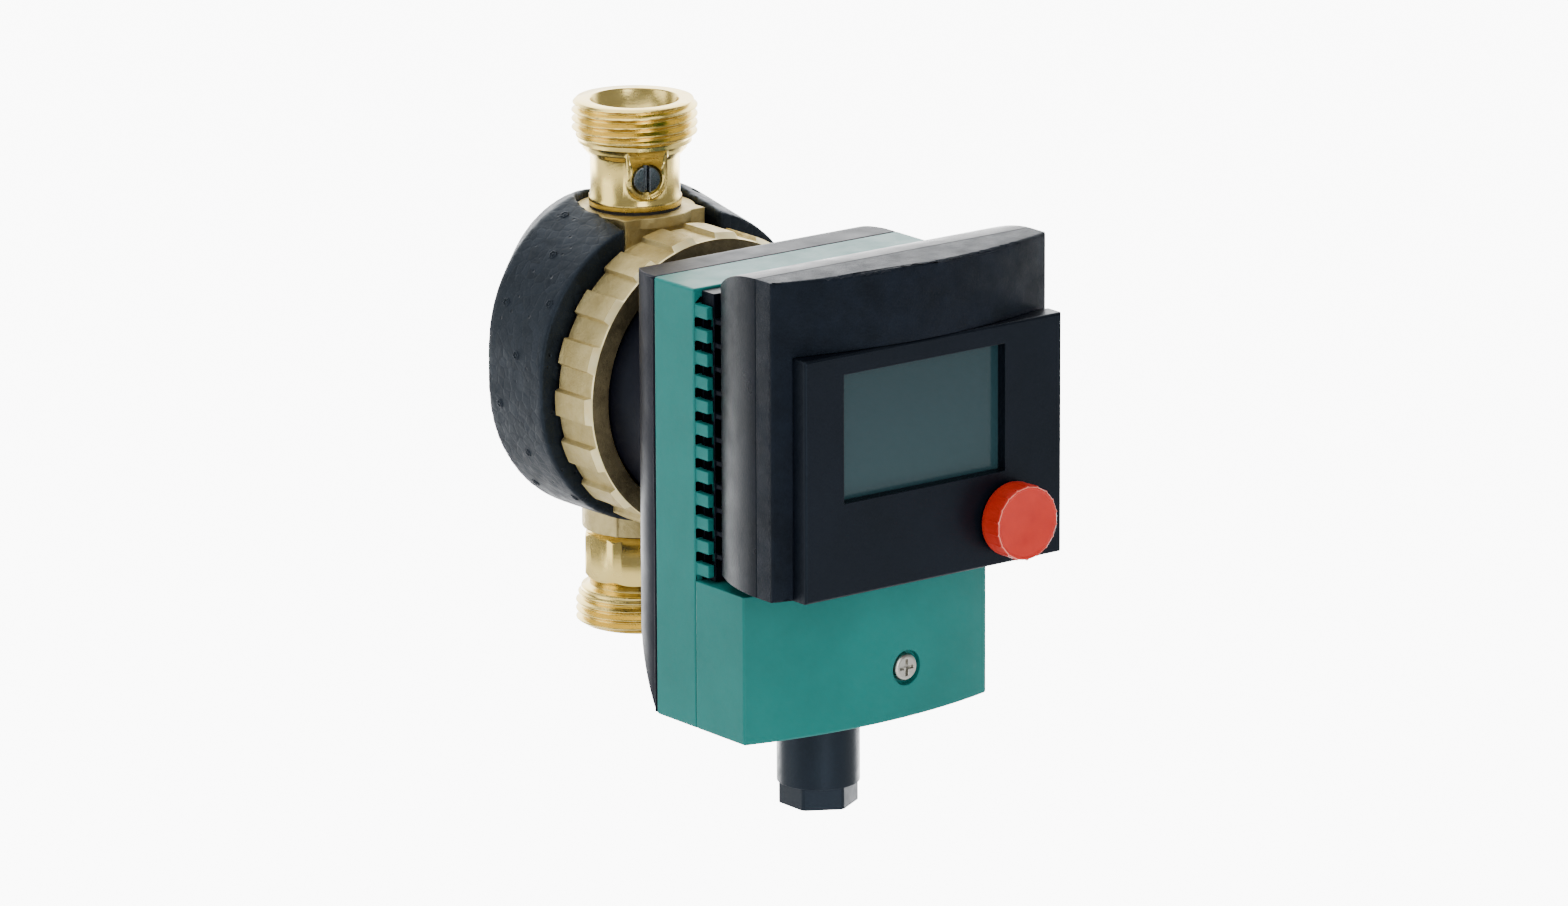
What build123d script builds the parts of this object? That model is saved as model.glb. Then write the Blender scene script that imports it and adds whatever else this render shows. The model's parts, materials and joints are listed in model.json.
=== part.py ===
from build123d import *
from math import cos, radians, sin
import os

# Wet-rotor circulator pump for domestic hot water, with a ball valve above the housing, a check
# valve below it, a union ring that holds the motor, and an electronics module with a display.
# Millimetres.  +Z is up along the ports, -Y is the front (the display side), +X is the right.
# Everything is designed about the point where the port axis crosses the motor axis, and is lifted
# at the end so that the origin is the centre of the lower port's end face.

# ---------------------------------------------------------------- driving dimensions
port_half_length = 70.0        # motor axis to each port's end face: 140 mm between ports
port_bore_radius = 11.4
thread_crest_radius = 16.35    # G 1 pipe thread on both ports
thread_depth = 1.48
thread_pitch = 2.309
joint_gap = 0.8                # thickness of the seals under the fittings and the motor

volute_radius = 36.0           # brass housing
volute_back = 12.0
volute_front = -16.0
volute_round = 8.0             # rounding of the volute's back edge
spigot_radius = 35.6           # threaded spigot that the union ring is screwed onto
spigot_front = -26.6
boss_half_width = 12.9
boss_top = 41.5                # heights of the two bosses that the fittings screw into
boss_bottom = -44.3
top_boss_front = -13.0
bottom_boss_front = -8.0
boss_flange_radius = 15.6      # round face that the upper fitting stands on
boss_back_radius = 14.6

ring_radius = 39.9             # union ring
ring_back = -17.9
ring_front = -32.7
ring_pads = 18
ring_pad_height = 1.3
ring_pad_start = 8.0           # degrees from the top to the first raised pad

shell_front = -16.6            # moulded insulation, widening from the front to its shoulder
shell_shoulder = 6.8
shell_back = 16.6
shell_notch_radius = 15.9
shell_slot_half_width = 15.2    # open slot in front of the upper boss

case_half_width = 39.14        # electronics module
case_top = 40.2
case_bottom = -75.1
case_wall = 2.4
vent_pitch = 6.13              # comb of teeth over the air slots
tooth_height = 3.2
tooth_top = 36.2
tooth_count = 12
tooth_half_width = 38.6
ledge_z = -36.0                # top of the front cover, below the display hood
rear_seam = -60.4
front_seam = -77.1
front_corner = -97.3
front_bulge = 5.4
tub_back = -42.0
tub_radius = 18.0
tub_top_radius = 10.0
tub_foot_height = 40.0         # the tub's back leans in over this height at the bottom

hood_half_width = 43.8         # display hood
hood_top = 49.8
hood_bottom = -32.7
hood_back = -87.0
hood_crease = -109.0
hood_corner = -115.5
hood_bulge = 6.7
hood_side_sweep = 5.8
hood_top_sweep = 6.6
hood_wall = 2.2
skirt_half_width = 36.6        # black skirt that carries the hood on the middle shell
skirt_top = 39.5
skirt_front = -82.3
hood_neck_half_width = 33.0
rib_half_width = 36.2
rib_thickness = 1.4
hood_neck_top = 34.0
hood_neck_bottom = -31.0
edge_round = 0.8               # rounding of the shells' outer edges
seam_chamfer = 0.35            # fine groove where two shells meet

panel_left = -38.3             # raised front panel
panel_right = 43.8
panel_top = 30.2
panel_front = -122.1
panel_back = -116.4
window_left, window_right = -26.0, 25.4
window_bottom, window_top = -8.3, 24.9
window_recess = 3.0

knob_x, knob_z = 26.3, -20.6
knob_radius = 10.0
knob_height = 8.2
knob_gap = 1.3
knob_ribs = 18
knob_shaft_radius = 3.0
running_clearance = 0.05

gland_y = -77.2                # cable gland
gland_end = -101.5
cable_hole_radius = 4.6

shaft_radius = 4.0             # motor
rotor_radius = 15.5
can_radius = 16.7
stator_radius = 30.3
neck_radius = 32.5
flange_radius = 34.4
screw_x, screw_z = 22.0, -32.0  # casing screws, from behind

octagon_flats = 26.8           # check valve body, across its flats
octagon_turn = 26.4            # degrees

ball_z = 51.0                  # ball valve
ball_radius = 8.8
spindle_radius = 3.6
spindle_turn = -22.0           # the spindle points this many degrees to the left of the front


# ---------------------------------------------------------------- shapes used throughout
def y_disc(radius, y_a, y_b):
    """Cylinder about the motor axis, between two stations along Y."""
    return Pos(0, (y_a + y_b) / 2, 0) * Rot(90, 0, 0) * Cylinder(radius, abs(y_b - y_a))


def y_tube(outer, inner, y_a, y_b):
    middle = (y_a + y_b) / 2
    return y_disc(outer, y_a, y_b) - Pos(0, middle, 0) * Rot(90, 0, 0) * Cylinder(
        inner, abs(y_b - y_a) + 1)


def z_disc(radius, z_a, z_b):
    """Cylinder about the port axis, between two heights."""
    return Pos(0, 0, (z_a + z_b) / 2) * Cylinder(radius, abs(z_b - z_a))


def z_tube(outer, inner, z_a, z_b):
    return z_disc(outer, z_a, z_b) - Pos(0, 0, (z_a + z_b) / 2) * Cylinder(
        inner, abs(z_b - z_a) + 1)


def block(x_a, x_b, y_a, y_b, z_a, z_b):
    """Box between two corners."""
    return Pos((x_a + x_b) / 2, (y_a + y_b) / 2, (z_a + z_b) / 2) * Box(
        abs(x_b - x_a), abs(y_b - y_a), abs(z_b - z_a))


def turned(points):
    """Solid of revolution about the port axis from (radius, height) points."""
    return revolve(Plane.XZ * make_face(Polyline(*points, close=True)), Axis.Z)


def port_thread(z_start, z_end, direction):
    """Thread ridges at a port, from the end face inwards, as a solid of revolution."""
    root = thread_crest_radius - thread_depth
    ridge = turned([
        (root - 0.6, -0.5 * thread_pitch), (root, -0.5 * thread_pitch),
        (thread_crest_radius, -0.12 * thread_pitch), (thread_crest_radius, 0.12 * thread_pitch),
        (root, 0.5 * thread_pitch), (root - 0.6, 0.5 * thread_pitch)])
    count = int(abs(z_end - z_start) / thread_pitch)
    ridges = z_disc(root, z_start, z_end)
    for index in range(count):
        ridges += Pos(0, 0, z_end - direction * (index + 0.55) * thread_pitch) * ridge
    return ridges


# ---------------------------------------------------------------- brass housing and its ring
def pump_housing():
    """Cast brass volute with a threaded spigot in front and a square boss at each port."""
    volute = y_disc(volute_radius, volute_back, volute_front)
    volute = fillet(volute.edges().group_by(Axis.Y)[-1], volute_round)
    body = volute + y_disc(spigot_radius, volute_front, spigot_front)
    body += block(-boss_half_width, boss_half_width, top_boss_front, 0, 0, boss_top)
    body += block(-boss_half_width, boss_half_width, bottom_boss_front, 3, 0, boss_bottom)
    body += z_disc(boss_half_width - 0.9, 0, boss_top) + z_disc(boss_back_radius, boss_bottom, 0)
    body += z_disc(boss_flange_radius, boss_top - 3, boss_top)
    body -= y_disc(25.0, -2.0, -21.0)                      # impeller chamber
    body -= y_disc(31.0, -20.0, spigot_front - 1)          # recess for the bearing plate
    body -= y_disc(8.0, 5.0, -3.0)                         # eye behind the impeller
    body -= Pos(0, 4.6, 16.0) * Cylinder(6.2, 32)          # suction passage down from the top port
    body -= Pos(0, -7.0, -22.0) * Cylinder(6.5, 24)        # discharge passage to the lower port
    return body - z_disc(9.6, 29.0, boss_top + 1) - z_disc(9.6, -29.0, boss_bottom - 1)


def union_ring():
    """Castellated brass ring that clamps the motor flange onto the housing spigot."""
    ring = y_disc(ring_radius, ring_back, ring_front)
    ring = chamfer(ring.edges().group_by(Axis.Y)[0], 1.0)
    step = 360 / ring_pads
    recess_width = 2 * ring_radius * sin(radians(step / 4))
    recess_floor = ring_radius - ring_pad_height
    recess = Pos(0, (ring_back + ring_front) / 2, recess_floor + 2) * Box(recess_width, 30, 4)
    for index in range(ring_pads):
        ring -= Rot(0, ring_pad_start + (index + 0.5) * step, 0) * recess
    ring -= y_disc(spigot_radius + 0.15, ring_back + 1, -30.2)
    ring -= y_disc(neck_radius + 0.5, ring_back, ring_front - 1)
    return ring


def insulation_solid():
    """Foam block round the volute: it widens to its shoulder and tapers off behind."""
    def outline(y, width, height, centre_z, corner):
        return Plane.XZ.offset(-y) * Pos(0, centre_z) * RectangleRounded(width, height, corner)
    shoulder = outline(shell_shoulder, 85.6, 86.2, 3.6, 38.5)
    solid = loft([outline(shell_front, 85.8, 80.6, 1.5, 37.5), shoulder])
    solid += loft([shoulder, outline(shell_back, 61.6, 72.8, 7.0, 26.9)])
    room = 0.25
    pocket = y_disc(volute_radius + room, volute_back + room, shell_front - 1)
    solid -= fillet(pocket.edges().group_by(Axis.Y)[-1], volute_round)
    slot, half = shell_slot_half_width, boss_half_width + room
    solid -= block(-slot, slot, shell_front - 1, 2, 0, 60)
    solid -= block(-half, half, shell_front - 1, 3 + room, -60, 0)
    solid -= z_disc(shell_notch_radius, 0, 60) + z_disc(boss_back_radius + room, -60, 0)
    return solid


def insulation_half(side):
    """One of the two foam shells, split along the plane through the ports."""
    keep = block(side * 0.1, side * 60, -40, 40, -70, 70)
    return insulation_solid() & keep


# ---------------------------------------------------------------- ball valve in the upper port
def spindle_frame():
    """Plane at the ball's centre whose Z axis runs out along the spindle."""
    turn = radians(spindle_turn)
    return Plane(origin=(0, 0, ball_z), x_dir=(cos(turn), sin(turn), 0),
                 z_dir=(sin(turn), -cos(turn), 0))


def ball_valve_body():
    """Brass body with the upper G 1 thread and a flat boss for the spindle."""
    foot = boss_top + joint_gap
    neck_z = 59.0
    body = turned([
        (0, 30.0), (9.5, 30.0), (9.5, foot), (12.1, foot), (12.1, 44.4), (11.7, 44.8),
        (11.7, 55.2), (13.6, 57.4), (13.6, neck_z + 0.5), (0, neck_z + 0.5)])
    body += port_thread(neck_z, port_half_length, 1)
    body = body.clean()
    frame = spindle_frame()
    pad = extrude(frame * (Circle(5.4) + Pos(0, 3.2) * Rectangle(10.8, 6.4)), 12.6)
    body += pad & z_disc(14, 45, 57.8)
    body -= z_disc(port_bore_radius, 62.0, port_half_length + 1)
    body -= z_disc(11.0, 59.6, 62.5)
    body -= z_disc(9.6, 42.8, 60)                          # ball chamber
    body -= z_disc(6.4, 29, 43)
    body -= extrude(frame * Circle(spindle_radius + running_clearance), 14)
    body -= extrude(frame.offset(11.4) * Circle(4.2), 3)
    return body


def valve_ball():
    """Chromed ball with its flow hole and the slot that the spindle turns it by."""
    ball = Pos(0, 0, ball_z) * Sphere(ball_radius)
    ball -= z_disc(6.0, ball_z - 12, ball_z + 12)
    frame = spindle_frame()
    return ball - extrude(frame.offset(7.2) * Rectangle(2.2, 9), 4)


def valve_spindle():
    """Slotted spindle whose tang sits in the ball."""
    frame = spindle_frame()
    spindle = extrude(frame.offset(8.9) * Circle(spindle_radius), 3.5)
    spindle += extrude(frame.offset(7.4) * Rectangle(2.0, 5.6), 1.6)
    return spindle - extrude(frame.offset(10.2) * Rectangle(1.3, 9), 3)


def ball_seat(z_a, z_b):
    """Ring that seals against the ball."""
    return z_tube(9.5, 6.3, z_a, z_b) - Pos(0, 0, ball_z) * Sphere(ball_radius + 0.02)


def ball_retainer():
    """Screwed ring that holds the upper seat down."""
    ring = z_tube(10.95, 6.8, 59.6, 61.9)
    return ring - block(-13, 13, -1.2, 1.2, 61.0, 63.0)


def fitting_seal(z_a, z_b):
    """Flat ring between a fitting's shoulder and the housing boss."""
    return z_tube(11.9, 9.7, z_a, z_b)


# ---------------------------------------------------------------- check valve in the lower port
def check_valve_body():
    """Brass body with eight spanner flats, the lower G 1 thread and the valve seat."""
    foot = boss_bottom - joint_gap
    octagon_end = -57.8
    body = turned([
        (0, -30.0), (9.5, -30.0), (9.5, foot), (12.7, foot), (12.7, -59.8), (14.0, -60.8),
        (14.0, -61.5), (0, -61.5)])
    octagon = Pos(0, 0, octagon_end) * extrude(
        RegularPolygon(octagon_flats / 2, 8, major_radius=False, rotation=octagon_turn),
        foot - 0.5 - octagon_end)
    body += octagon & turned([
        (0, foot), (13.3, foot), (14.6, foot - 1.6), (14.6, octagon_end + 1.6),
        (13.3, octagon_end - 0.1), (0, octagon_end - 0.1)])
    body += port_thread(-60.5, -port_half_length, -1)
    body = body.clean()
    body -= z_disc(port_bore_radius, -62.2, -port_half_length - 1)
    body -= z_disc(9.4, -46.5, -63)                        # chamber of the check cone
    return body - z_disc(6.4, -29, -47)


def check_cone():
    """Cone that closes against the seat, with its guide stem."""
    return turned([
        (0, -44.6), (4.0, -44.6), (6.2, -46.6), (7.6, -46.6), (7.6, -47.8), (3.0, -48.6),
        (1.5, -48.6), (1.5, -60.0), (0, -60.0)])


def check_guide():
    """Three-legged guide that carries the stem and the lower end of the spring."""
    legs = z_tube(9.35, 7.6, -59.0, -62.0) + z_tube(3.4, 1.5 + running_clearance, -59.0, -62.0)
    for index in range(3):
        legs += Rot(0, 0, 120 * index) * block(3.0, 8.0, -0.8, 0.8, -59.6, -61.6)
    return legs


def check_spring():
    """Compression spring between the guide and the cone."""
    wire = 0.35
    low, high = -59.0 + wire + 0.05, -48.6 - wire - 0.15
    path = Pos(0, 0, low) * Helix(pitch=(high - low) / 5, height=high - low, radius=2.6)
    return sweep(Plane(origin=path @ 0, z_dir=path % 0) * Circle(wire), path)


# ---------------------------------------------------------------- wet-rotor motor
def bearing_plate():
    plate = y_tube(30.8, 7.0, -20.0, -22.0) + y_tube(9.5, 7.0, -20.0, -26.5)
    for index in range(4):
        plate -= Rot(0, 45 + 90 * index, 0) * Pos(0, -21, 16) * Rot(90, 0, 0) * Cylinder(1.5, 6)
    return plate


def impeller():
    """Closed impeller with its eye at the back."""
    wheel = y_disc(22.5, -16.0, -17.6) + y_tube(6.5, shaft_radius, -5.4, -17.6)
    wheel += y_tube(22.5, 9.0, -5.4, -6.8)
    blade = Pos(0, -11.4, 0) * Rot(90, 0, 0) * (
        Pos(12.5, 0, 0) * Cylinder(13.0, 10.4) - Pos(12.5, 0, 0) * Cylinder(11.6, 11))
    blade &= block(4, 22, -18, -5, -22, 22) & y_tube(22.0, 6.2, -5, -18)
    blade &= block(-1, 30, -18, -5, -30, 0)
    for index in range(6):
        wheel += Rot(0, 60 * index, 0) * blade
    return wheel - y_disc(shaft_radius, -4, -20)


def rotor_shaft():
    return y_disc(shaft_radius, -5.4, -68.6)


def rotor_core():
    return y_tube(rotor_radius, shaft_radius, -31.0, -58.0)


def motor_bearing(y_a, y_b):
    """Carbon bush that the shaft runs in."""
    return y_tube(6.9, shaft_radius + running_clearance, y_a, y_b)


def separating_can():
    """Thin stainless can that keeps the water away from the windings."""
    can = y_disc(can_radius, -27.4, -70.6) + y_disc(flange_radius, -27.4, -28.4)
    return can - y_disc(can_radius - 0.5, -27, -70.0)


def rear_bearing_seat():
    return y_tube(can_radius - 0.55, 6.95, -61.0, -69.9)


def housing_gasket():
    return y_tube(flange_radius, 31.2, spigot_front, spigot_front - joint_gap)


def stator_core():
    """Laminated ring with six teeth."""
    core = y_tube(stator_radius, can_radius + 0.15, -37.0, -57.0)
    slot = block(-4.5, 4.5, -30, -70, 19.5, 26.5)
    mouth = block(-1.2, 1.2, -30, -70, 15, 20)
    for index in range(6):
        core -= Rot(0, 60 * index, 0) * (slot + mouth)
    return core


def stator_windings():
    """End turns on both sides of the laminations."""
    front = y_tube(27.0, 19.0, -57.1, -63.5)
    back = y_tube(27.0, 19.0, -36.9, -31.2)
    return Compound([fillet(front.edges(), 1.8), fillet(back.edges(), 1.8)])


def rounded_tub(inset):
    """Box with large radii round its back face, drawn in plan and in side view."""
    half, back, seam = case_half_width - inset, tub_back - inset, rear_seam
    top, bottom = case_top - inset, case_bottom + inset
    if inset:
        seam -= 1
    middle, depth = (seam + back) / 2, back - seam
    plan = Pos(0, middle) * Rectangle(2 * half, depth)
    plan = fillet(plan.vertices().group_by(Axis.Y)[-1], tub_radius - inset)
    tall = Pos(0, 0, bottom) * extrude(plan, top - bottom)
    foot = bottom + tub_foot_height
    side = Polyline((seam, bottom), (seam, top), (back, top), (back, foot))
    side += ThreePointArc((back, foot), (seam + 0.52 * depth, bottom + 0.46 * tub_foot_height),
                          (seam, bottom))
    side = make_face(side)
    side = fillet(side.vertices().group_by(Axis.X)[-1].sort_by(Axis.Y)[-1], tub_top_radius - inset)
    tub = tall & extrude(Plane.YZ * side, half + 1, both=True)
    return tub if inset else tub & soften(case_block(tub_back, rear_seam, 0), rear_seam)


def soften(solid, *seams):
    """Round a shell's four long edges and cut a fine chamfer round each seam face."""
    long_edges = [edge for edge in solid.edges().filter_by(Axis.Y)
                  if abs(abs(edge.center().X) - case_half_width) < 0.01]
    solid = fillet(long_edges, edge_round)
    for seam in seams:
        rim = [face for face in solid.faces().filter_by(Axis.Y) if abs(face.center().Y - seam) < 0.01]
        solid = chamfer(rim[0].outer_wire().edges(), seam_chamfer)
    return solid


def motor_housing():
    """Black clamped flange and the tube that holds the stator."""
    housing = y_tube(neck_radius, stator_radius + 0.1, -30.2, -58.5)
    return housing + y_tube(flange_radius, can_radius + 0.2, -28.4, -30.2)


def rear_casing():
    """Black tub round the motor, behind the green shells."""
    tub = rounded_tub(0) - rounded_tub(case_wall) - y_disc(neck_radius + 0.1, -38, -50)
    for side in (-1, 1):
        hole = Pos(side * screw_x, tub_back, screw_z) * Rot(90, 0, 0)
        tub -= hole * Cylinder(2.0, 12) + hole * Cylinder(3.9, 2.4)
    return tub


def case_screws():
    """Two screws that hold the casing to the shells, from behind."""
    screws = []
    for side in (-1, 1):
        at = Pos(side * screw_x, tub_back - 1.2, screw_z) * Rot(90, 0, 0)
        head = at * Pos(0, 0, -1.0) * Cylinder(3.6, 2.0)
        head = fillet(head.edges().group_by(Axis.Y)[-1], 0.9)
        shank = at * Pos(0, 0, 11.0) * Cylinder(1.8, 22.0)
        drive = at * Pos(0, 0, -1.8) * (Box(4.2, 0.9, 1.6) + Box(0.9, 4.2, 1.6))
        screws.append(head + shank - drive)
    return Compound(screws)


# ---------------------------------------------------------------- green shells
def case_block(y_a, y_b, inset):
    return block(inset - case_half_width, case_half_width - inset, y_a, y_b,
                 case_bottom + inset, case_top - inset)


def middle_shell():
    """Open green frame between the casing and the front cover, with the partition inside."""
    shell = soften(case_block(rear_seam, front_seam, 0), rear_seam, front_seam)
    shell -= case_block(rear_seam + 1, front_seam - 1, case_wall)
    shell += case_block(-65.0, -67.0, case_wall - 0.5)
    shell -= y_disc(can_radius + 0.4, -60, -80)
    for side in (-1, 1):
        post = Pos(side * screw_x, 0, screw_z)
        shell += post * y_disc(4.2, -56.0, -65.5)
        shell -= post * y_disc(1.8, -55.0, -68.0)
        for height in (-58, 30):
            shell += Pos(side * 31, 0, height) * y_disc(3.0, -66.5, -71.6)
    for index in range(tooth_count):
        z = tooth_top - index * vent_pitch
        for side in (-1, 1):
            shell += block(side * (skirt_half_width + 0.12), side * tooth_half_width,
                           front_seam + 1, -82.0, z - tooth_height, z)
    return shell - Pos(0, gland_y, case_bottom) * Cylinder(8.2, 12)


def bowed_front(half, corner, bulge, y_back, z_a, z_b):
    """Block whose front face is an upright arc in plan."""
    outline = Polyline((-half, corner), (-half, y_back), (half, y_back), (half, corner))
    outline += ThreePointArc((half, corner), (0, corner - bulge), (-half, corner))
    return Pos(0, 0, z_a) * extrude(make_face(outline), z_b - z_a)


def front_cover():
    """Green cover below the display hood, with an upright plate that the hood is fixed to."""
    cover = bowed_front(case_half_width, front_corner, front_bulge, front_seam,
                        case_bottom, case_top)
    cover = soften(cover, front_seam)
    cover = fillet(cover.edges().group_by(Axis.Y)[0] + [
        edge for edge in cover.edges().filter_by(Axis.Z)
        if abs(edge.center().Y - front_corner) < 0.01], edge_round)
    cover -= block(-50, 50, front_seam + 1, -120, ledge_z, case_top + 1)
    cover -= bowed_front(case_half_width - case_wall, front_corner + case_wall, front_bulge,
                         front_seam + 1, case_bottom + case_wall, ledge_z - case_wall)
    cover += block(-34.4, 34.4, -78.0, -80.2, ledge_z - case_wall, 33.0)
    cover -= Pos(0, gland_y, case_bottom) * Cylinder(8.2, 12)
    cover -= block(-29, 31, -77, -81, -26, 29)             # opening for the tall components
    screw = Pos(9.2, front_corner - front_bulge, -61.8) * Rot(90, 0, 0)
    return cover - screw * Cylinder(2.1, 20) - screw * Cylinder(4.6, 5)


def cover_screw():
    """Cross-recessed pan-head screw in the front cover."""
    at = Pos(9.2, front_corner - front_bulge + 2.5, -61.8) * Rot(90, 0, 0)
    head = at * Pos(0, 0, 1.1) * Cylinder(3.6, 2.2)
    head = fillet(head.edges().group_by(Axis.Y)[0], 1.0)
    head += at * Pos(0, 0, -7) * Cylinder(1.95, 14)
    return head - at * Pos(0, 0, 1.9) * (Box(4.4, 0.9, 1.8) + Box(0.9, 4.4, 1.8))


# ---------------------------------------------------------------- electronics
def power_board():
    return block(-35.5, 35.5, -71.6, -73.2, -64, 36.5)


def terminal_block():
    body = block(-24, 24, -73.2, -86, -66, -52)
    for index in range(5):
        x = -18 + 9 * index
        body -= Pos(x, -86, -56) * Rot(90, 0, 0) * Cylinder(2.6, 8)
        body -= block(x - 2.4, x + 2.4, -76, -81, -67, -60)
    return body


def board_capacitor():
    return Pos(-18, -83.4, -12) * fillet(Cylinder(8, 26).edges(), 1)


def board_transformer():
    core = block(4, 30, -73.2, -90, -20, 8)
    return fillet(core.edges().filter_by(Axis.Y), 1.5)


def board_relay():
    return block(-28, -12, -73.2, -89, 8, 28)


def display_board():
    return block(-37, 38, -109.6, -111.2, -29, 30)


def board_link():
    """Plug-in pin strip between the two boards."""
    return block(-8, 8, -73.2, -109.6, 14, 20)


def lcd_module():
    return block(-27.4, 26.8, -111.2, -117.6, -9.8, 26.4)


def lcd_window():
    face = panel_front + window_recess
    return block(window_left, window_right, face, face + 1.2, window_bottom, window_top)


# ---------------------------------------------------------------- display hood
def swept_hood(inset):
    """Hood drawn in plan and in side view: its sides and top sweep in towards the back."""
    half, top, low = hood_half_width - inset, hood_top - inset, hood_bottom + inset
    back, front = hood_back - inset, hood_crease
    if inset:
        front -= 1
    middle = (back + front) / 2
    plan = Polyline((-half + hood_side_sweep, back), (half - hood_side_sweep, back))
    plan += ThreePointArc((half - hood_side_sweep, back), (half - hood_side_sweep / 4, middle),
                          (half, front))
    plan += Line((half, front), (-half, front))
    plan += ThreePointArc((-half, front), (-half + hood_side_sweep / 4, middle),
                          (-half + hood_side_sweep, back))
    tall = Pos(0, 0, low) * extrude(make_face(plan), top - low)
    side = Polyline((front, top), (front, low), (back, low), (back, top - hood_top_sweep))
    side += ThreePointArc((back, top - hood_top_sweep), (middle, top - hood_top_sweep / 4),
                          (front, top))
    return tall & extrude(Plane.YZ * make_face(side), half + 1, both=True)


def hood_shell():
    """Black rear shell of the display hood, with the neck and skirt that it stands off on."""
    low, top = ledge_z + 0.4, skirt_top
    shell = swept_hood(0) - swept_hood(hood_wall)
    shell += block(-hood_neck_half_width, hood_neck_half_width, skirt_front + 0.2, hood_back - 0.5,
                   hood_neck_bottom, hood_neck_top)
    shell += block(-skirt_half_width, skirt_half_width, front_seam - 0.05, skirt_front, low, top)
    shell += block(-skirt_half_width, skirt_half_width, front_seam + 1.3, front_seam - 0.5,
                   low + 3, case_top - case_wall - 0.15)
    shell -= block(-31, 31, -70, -95, hood_neck_bottom + 2, hood_neck_top - 2)
    shell -= block(-34.6, 34.6, -70, -80.3, low + 2, top - 4)
    shell -= block(-34.6, 34.6, -77.9, -80.3, low - 1, low + 3)
    for index in range(tooth_count - 1):                   # air slots between the teeth
        z = tooth_top - tooth_height - index * vent_pitch
        shell -= block(-40, 40, front_seam - 0.6, -81.8, z - vent_pitch + tooth_height, z)
    for index in range(tooth_count - 1):                   # ribs that carry the hood's back edge
        z = tooth_top - tooth_height - index * vent_pitch
        for side in (-1, 1):
            shell += block(side * (hood_neck_half_width - 1), side * rib_half_width,
                           skirt_front + 0.2, hood_back - 0.5, z - rib_thickness, z)
    return shell


def hood_bezel():
    """Black bezel with the bowed front face; the front panel sits in its recess."""
    bezel = bowed_front(hood_half_width, hood_corner, hood_bulge, hood_crease,
                        hood_bottom, hood_top)
    front_edges = bezel.edges().group_by(Axis.Y)[0] + [
        edge for edge in bezel.edges().filter_by(Axis.Z)
        if abs(edge.center().Y - hood_corner) < 0.01]
    bezel = fillet(front_edges, edge_round)
    bezel -= bowed_front(hood_half_width - hood_wall, hood_corner + hood_wall, hood_bulge,
                         hood_crease + 1, hood_bottom + hood_wall, hood_top - hood_wall)
    bezel -= block(panel_left, panel_right + 5, panel_back, -130, hood_bottom - 1, panel_top)
    return bezel - block(-36.5, 41.5, -108, -130, hood_bottom + 2.5, 28.5)


def front_panel():
    """Raised flat panel with the display opening and the knob's hole."""
    panel = block(panel_left, panel_right, panel_back, panel_front, hood_bottom, panel_top)
    panel = chamfer(panel.faces().sort_by(Axis.Y)[0].edges(), 0.5)
    face = panel_front + window_recess
    panel -= block(window_left, window_right, -100, -130, window_bottom, window_top)
    panel -= block(-27.5, 26.9, face + 1.2, -100, -9.9, 26.5)
    return panel - Pos(knob_x, -119, knob_z) * Rot(90, 0, 0) * Cylinder(3.6, 20)


def encoder():
    """Rotary encoder on the display board, with its threaded bush."""
    at = Pos(knob_x, 0, knob_z)
    body = at * block(-6.2, 6.2, -111.2, -116.3, -6.2, 6.2)
    body -= at * y_disc(4.2, -111.5, -115.2)
    return body - at * y_disc(knob_shaft_radius + running_clearance, -110, -118)


def encoder_plunger():
    """Spring-loaded disc inside the encoder that the shaft presses down."""
    return Pos(knob_x, 0, knob_z) * y_disc(3.9, -112.6, -113.4)


def knob_shaft():
    return Pos(knob_x, 0, knob_z) * y_disc(knob_shaft_radius, -113.4, panel_front - knob_height + 2)


def knob():
    """Red push-and-turn knob with a ribbed rim and a shallow dished face."""
    back, front = panel_front - knob_gap, panel_front - knob_height
    body = y_disc(knob_radius - 0.35, back, front)
    body = fillet(body.edges().group_by(Axis.Y)[0], 1.0)
    rib = Pos(0, (back + front) / 2 + 0.4, knob_radius - 0.9) * Rot(90, 0, 0) * Cylinder(
        0.9, front * -1 + back - 0.8)
    for index in range(knob_ribs):
        body += Rot(0, index * 360 / knob_ribs, 0) * rib
    body -= Pos(0, front - 58.6, 0) * Sphere(59.0)
    body -= y_disc(7.4, back + 1, back - 3.4) - y_disc(5.0, back + 2, back - 4)
    body -= y_disc(knob_shaft_radius, back + 1, front + 2)
    return Pos(knob_x, 0, knob_z) * body


# ---------------------------------------------------------------- cable gland
def gland_body():
    """Gland screwed up into the two shells, with its collar below them."""
    body = z_disc(8.0, case_bottom + 8, case_bottom) + z_disc(11.6, case_bottom, case_bottom - 3.4)
    body += z_disc(8.6, case_bottom - 3.4, -92.0)
    return Pos(0, gland_y, 0) * (body - z_disc(6.6, case_bottom + 9, -93.0))


def gland_seal():
    return Pos(0, gland_y, 0) * z_tube(6.5, cable_hole_radius + 0.4, -84.0, -94.0)


def gland_nut():
    """Clamping nut: a round skirt above and a hexagon below."""
    skirt = z_disc(10.75, case_bottom - 3.6, -95.6)
    hexagon = Pos(0, 0, gland_end) * extrude(RegularPolygon(10.5, 6, rotation=30), 6.0)
    hexagon &= z_disc(10.2, gland_end, -95)
    nut = skirt + hexagon - z_disc(8.75, case_bottom - 3, -94.2)
    return Pos(0, gland_y, 0) * (nut - z_disc(cable_hole_radius, -94, gland_end - 1))


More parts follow.
